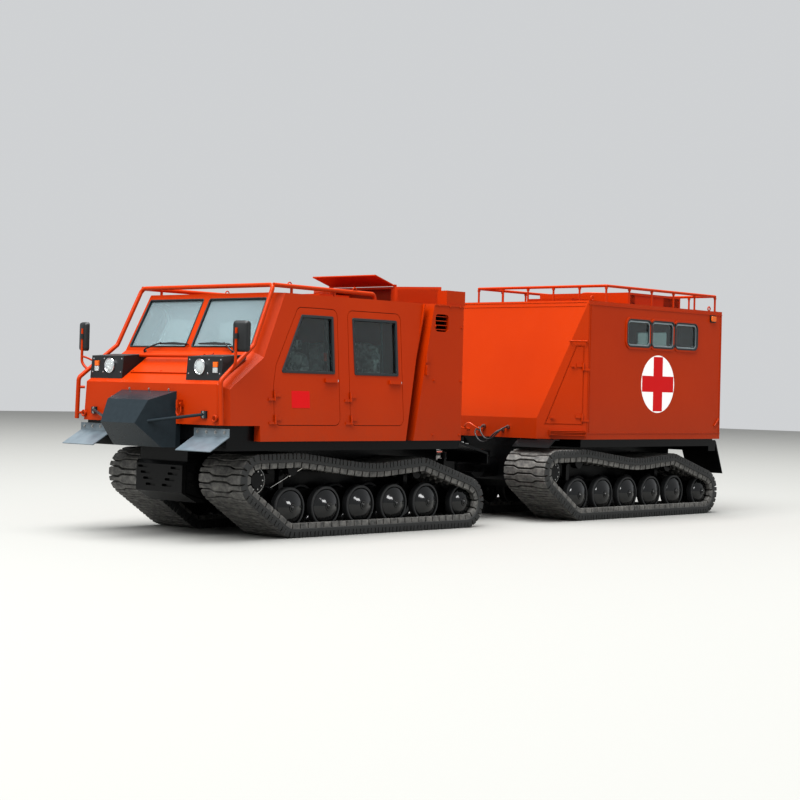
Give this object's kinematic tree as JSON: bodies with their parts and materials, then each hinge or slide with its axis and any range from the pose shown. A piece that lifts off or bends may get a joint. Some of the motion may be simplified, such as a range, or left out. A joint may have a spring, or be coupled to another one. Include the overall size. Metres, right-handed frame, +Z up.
{
  "type": "tracked all terrain vehicle",
  "caption": "Articulated tracked carrier: a cab unit with opening doors, joined by a pitch, yaw and roll coupling with steering cylinders to a rear ambulance box unit.",
  "frame": {"origin": "on the ground under the middle of the overall length, on the centreline", "axes": "+X forward, +Y to the vehicle's left, +Z up"},
  "size_m": [9.2, 2.585, 2.817],
  "materials": {
    "orange_paint": "glossy enamel",
    "black_paint": "semi-gloss enamel",
    "track_rubber": "moulded, dusty",
    "wheel_paint": "gloss enamel with rubber rim",
    "window_glass": "clear, slightly tinted",
    "lamp_glass": "clear lens",
    "lamp_plastic": "red moulded lens",
    "pod_plastic": "moulded",
    "seat_cover": "woven, under clear film",
    "dash_plastic": "moulded",
    "engine_iron": "painted casting",
    "bare_steel": "ground",
    "cylinder_paint": "gloss"
  },
  "bodies": {
    "front_car": {"front_hull": "black_paint", "cab_shell": "orange_paint", "engine_cover": "orange_paint", "engine_block": "engine_iron", "windscreen": "window_glass", "cab_seats": "seat_cover", "dashboard": "dash_plastic", "guard_tubes": "orange_paint", "lamp_pods": "pod_plastic", "lamp_lenses": "lamp_glass", "winch_housing": "black_paint", "front_flaps": "black_paint", "belly_plate": "black_paint", "mirrors": "pod_plastic", "front_track_left": "track_rubber", "front_track_right": "track_rubber", "front_wheels": "wheel_paint", "front_sprockets": "wheel_paint", "front_axles": "black_paint"},
    "rear_car": {"rear_frame": "black_paint", "rear_body": "orange_paint", "rear_windows": "window_glass", "rear_benches": "seat_cover", "roof_rack": "orange_paint", "roof_units": "orange_paint", "rear_track_left": "track_rubber", "rear_track_right": "track_rubber", "rear_wheels": "wheel_paint", "rear_sprockets": "wheel_paint", "rear_axles": "black_paint", "rear_flaps": "black_paint", "tail_lamps": "lamp_plastic"},
    "intake_flap": {"intake_flap": "orange_paint"},
    "coupling_fork": {"coupling_fork": "black_paint"},
    "coupling_head": {"coupling_head": "black_paint"},
    "rear_door": {"rear_door": "orange_paint", "rear_door_glass": "window_glass"},
    "door_front_left": {"door_front_left": "orange_paint", "glass_front_left": "window_glass"},
    "door_rear_left": {"door_rear_left": "orange_paint", "glass_rear_left": "window_glass"},
    "locker_door_left": {"locker_door_left": "orange_paint"},
    "steer_barrel_left": {"steer_barrel_left": "cylinder_paint"},
    "steer_rod_left": {"steer_rod_left": "bare_steel"},
    "door_front_right": {"door_front_right": "orange_paint", "glass_front_right": "window_glass"},
    "door_rear_right": {"door_rear_right": "orange_paint", "glass_rear_right": "window_glass"},
    "locker_door_right": {"locker_door_right": "orange_paint"},
    "steer_barrel_right": {"steer_barrel_right": "cylinder_paint"},
    "steer_rod_right": {"steer_rod_right": "bare_steel"}
  },
  "joints": [
    {"name": "pitch", "type": "hinge", "parent": "front_car", "child": "coupling_fork", "pos_m": [0.16, 0, 0.6], "axis": [0, 1, 0], "range_deg": [-18, 18]},
    {"name": "yaw", "type": "hinge", "parent": "coupling_fork", "child": "coupling_head", "pos_m": [-0.27, 0, 0.6], "axis": [0, 0, 1], "range_deg": [-34, 34]},
    {"name": "roll", "type": "hinge", "parent": "coupling_head", "child": "rear_car", "pos_m": [-0.85, 0, 0.6], "axis": [1, 0, 0], "range_deg": [-20, 20]},
    {"name": "barrel_left", "type": "hinge", "parent": "coupling_fork", "child": "steer_barrel_left", "pos_m": [0.15, 0.3, 0.76], "axis": [0, 0, 1], "range_deg": [-14, 14]},
    {"name": "rod_left", "type": "slide", "parent": "steer_barrel_left", "child": "steer_rod_left", "axis": [-0.9965, -0.083, 0], "range_m": [-0.156, 0.156]},
    {"name": "barrel_right", "type": "hinge", "parent": "coupling_fork", "child": "steer_barrel_right", "pos_m": [0.15, -0.3, 0.76], "axis": [0, 0, 1], "range_deg": [-14, 14]},
    {"name": "rod_right", "type": "slide", "parent": "steer_barrel_right", "child": "steer_rod_right", "axis": [-0.9965, 0.083, 0], "range_m": [-0.156, 0.156]},
    {"name": "door_front_left", "type": "hinge", "parent": "front_car", "child": "door_front_left", "pos_m": [3.56, 1.12396, 1.10105], "axis": [0, 0.075, -0.9972], "range_deg": [0, 75]},
    {"name": "door_rear_left", "type": "hinge", "parent": "front_car", "child": "door_rear_left", "pos_m": [2.505, 1.12396, 1.10105], "axis": [0, 0.075, -0.9972], "range_deg": [0, 75]},
    {"name": "locker_left", "type": "hinge", "parent": "rear_car", "child": "locker_door_left", "pos_m": [-1.4349, 1.05692, 1.2], "axis": [0, 0, 1], "range_deg": [0, 100]},
    {"name": "door_front_right", "type": "hinge", "parent": "front_car", "child": "door_front_right", "pos_m": [3.56, -1.12396, 1.10105], "axis": [0, 0.075, 0.9972], "range_deg": [0, 75]},
    {"name": "door_rear_right", "type": "hinge", "parent": "front_car", "child": "door_rear_right", "pos_m": [2.505, -1.12396, 1.10105], "axis": [0, 0.075, 0.9972], "range_deg": [0, 75]},
    {"name": "locker_right", "type": "hinge", "parent": "rear_car", "child": "locker_door_right", "pos_m": [-1.4349, -1.05692, 1.2], "axis": [0, 0, -1], "range_deg": [0, 100]},
    {"name": "rear_door", "type": "hinge", "parent": "rear_car", "child": "rear_door", "pos_m": [-4.364, -0.45, 1.2], "axis": [0, 0, 1], "range_deg": [0, 110]},
    {"name": "intake_flap", "type": "hinge", "parent": "front_car", "child": "intake_flap", "pos_m": [1.258, 0, 2.624], "axis": [0, 1, 0], "range_deg": [0, 58]}
  ],
  "couplings": [
    {"joint": "barrel_left", "follows": "yaw", "ratio": 0.376},
    {"joint": "rod_left", "follows": "yaw", "m_per_rad": 0.2595},
    {"joint": "barrel_right", "follows": "yaw", "ratio": 0.376},
    {"joint": "rod_right", "follows": "yaw", "m_per_rad": -0.2595}
  ]
}
